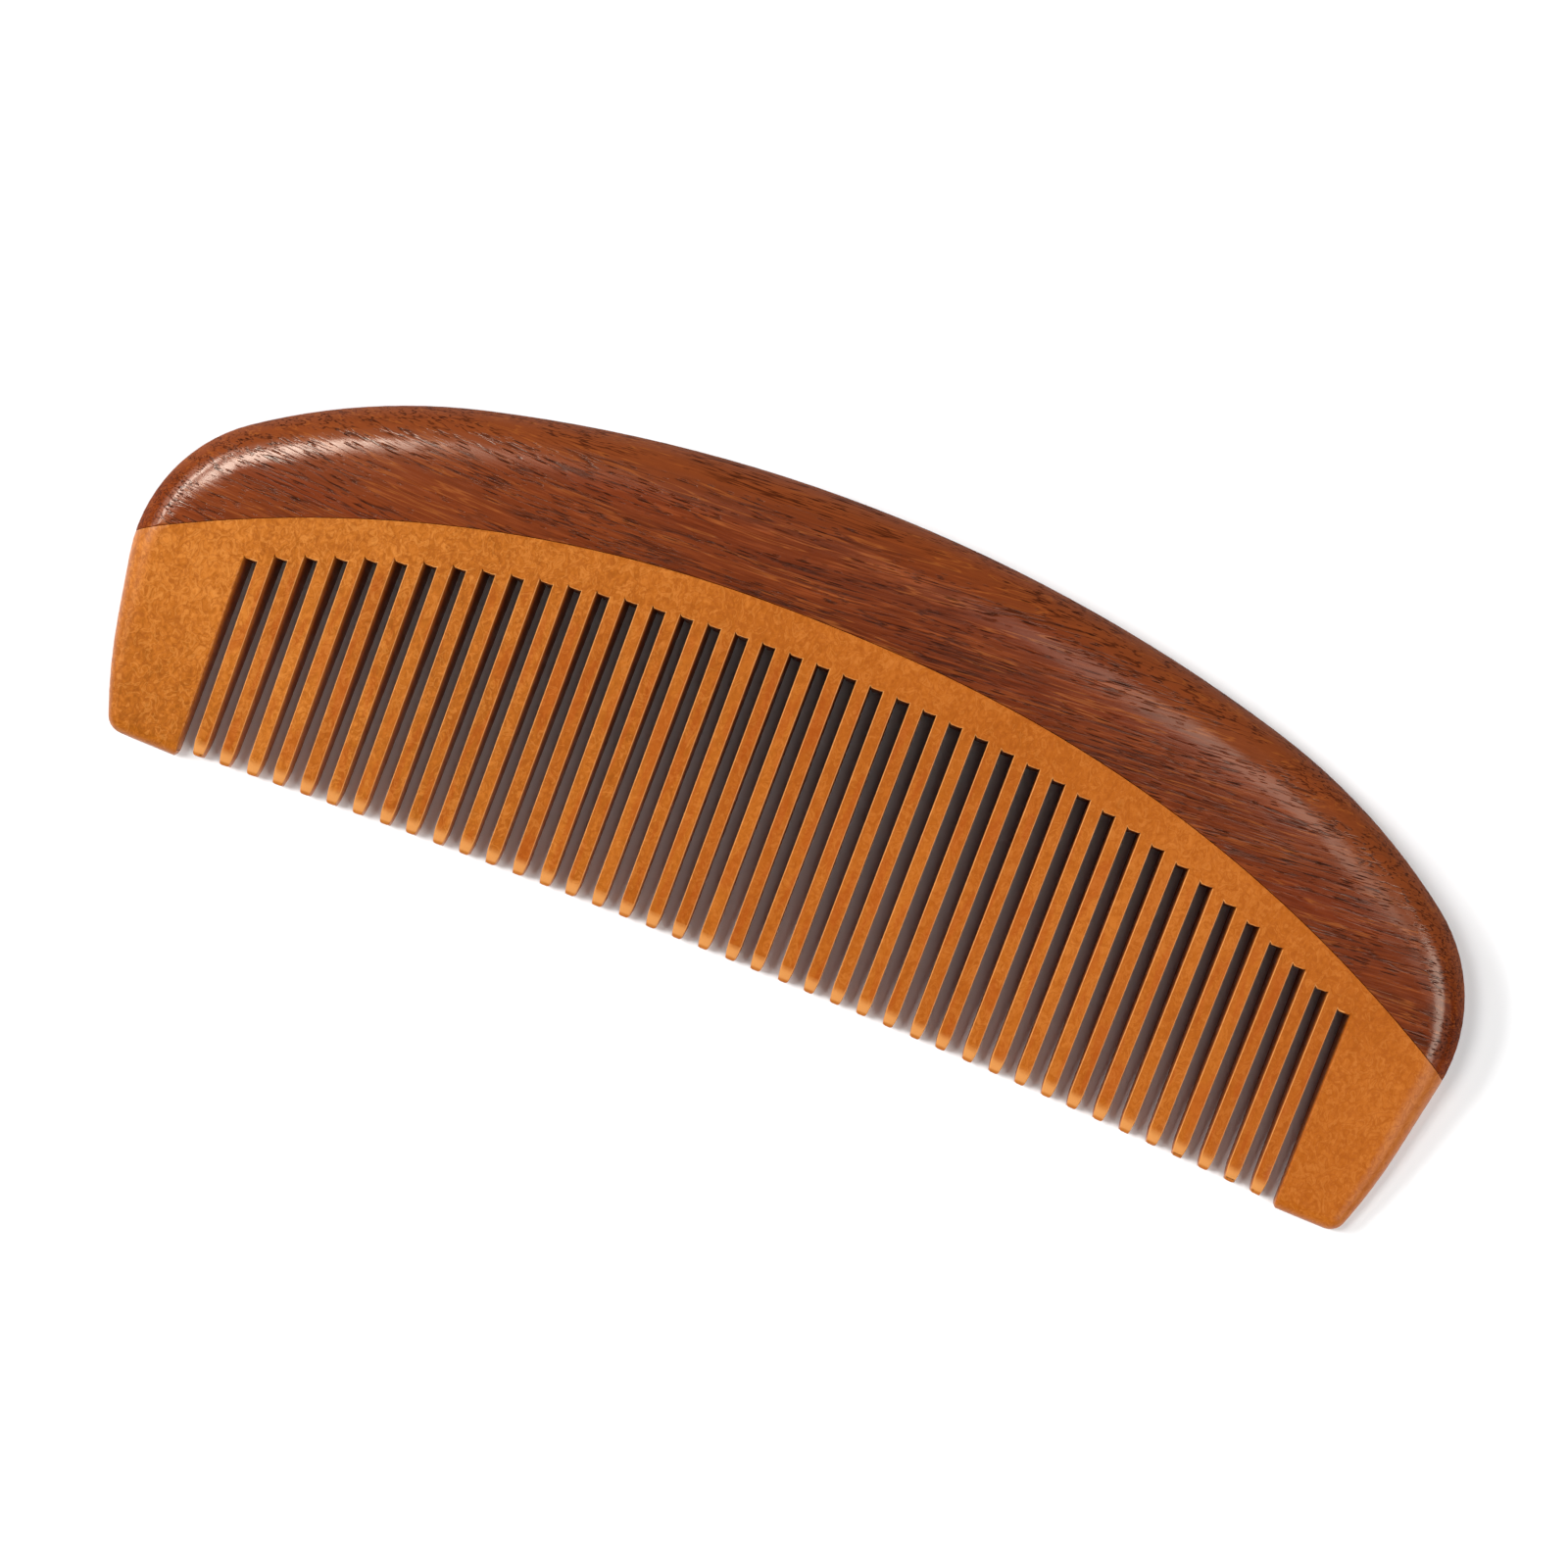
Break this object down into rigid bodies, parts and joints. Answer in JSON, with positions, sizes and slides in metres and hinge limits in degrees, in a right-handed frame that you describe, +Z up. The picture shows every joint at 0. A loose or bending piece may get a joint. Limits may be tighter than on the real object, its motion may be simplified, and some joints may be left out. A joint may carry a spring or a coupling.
{
  "type": "fine-tooth wooden comb",
  "caption": "Pocket-size wooden hair comb with an arched dark back glued to a sawn plate of fine teeth between two wide end guards, lying flat.",
  "frame": {"origin": "centre of the comb's footprint, on the surface that it lies on", "axes": "+X along the comb, +Y from the teeth to the arched back, +Z up out of the surface"},
  "size_m": [0.15, 0.0522, 0.0103],
  "materials": {
    "dark_wood": "dark red-brown hardwood with fine open pores, oiled and polished to a satin gloss",
    "light_wood": "orange-brown close-grained wood, sanded smooth, with a soft satin sheen"
  },
  "bodies": {
    "root": {"back": "dark_wood", "tooth_plate": "light_wood"}
  },
  "joints": []
}
